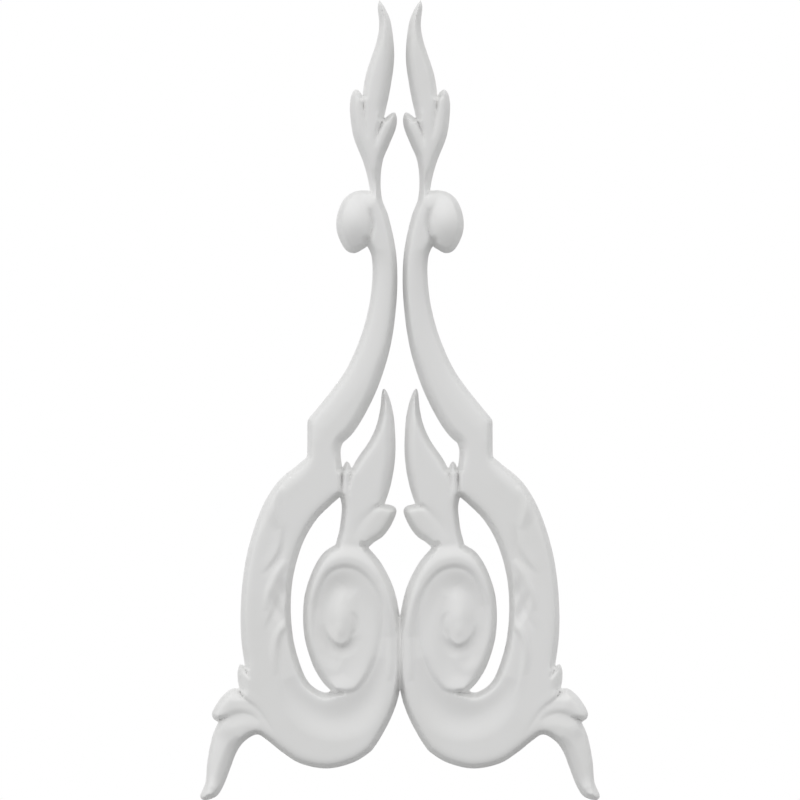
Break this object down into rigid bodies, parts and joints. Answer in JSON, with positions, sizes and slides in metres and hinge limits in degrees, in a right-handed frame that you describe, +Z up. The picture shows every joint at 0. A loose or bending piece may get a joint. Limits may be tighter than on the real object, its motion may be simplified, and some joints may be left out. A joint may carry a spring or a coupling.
{
  "type": "scroll applique",
  "caption": "Moulded relief applique of mirrored S-scrolls with volutes, tapering stems and acanthus leaves, flat at the back for fixing to a wall, door or mantel.",
  "frame": {"origin": "on the flat back, on the mirror axis, where the two volutes are fused", "axes": "+Z up, towards the leaf tips; +Y out of the flat back, into the wall; the relief faces -Y; X is across, with the mirror plane at X = 0"},
  "size_m": [0.1996, 0.016, 0.4001],
  "materials": {
    "primed_white": "moulded rigid polyurethane with a factory coat of matt white primer"
  },
  "bodies": {
    "root": {"scroll_applique": "primed_white"}
  },
  "joints": []
}
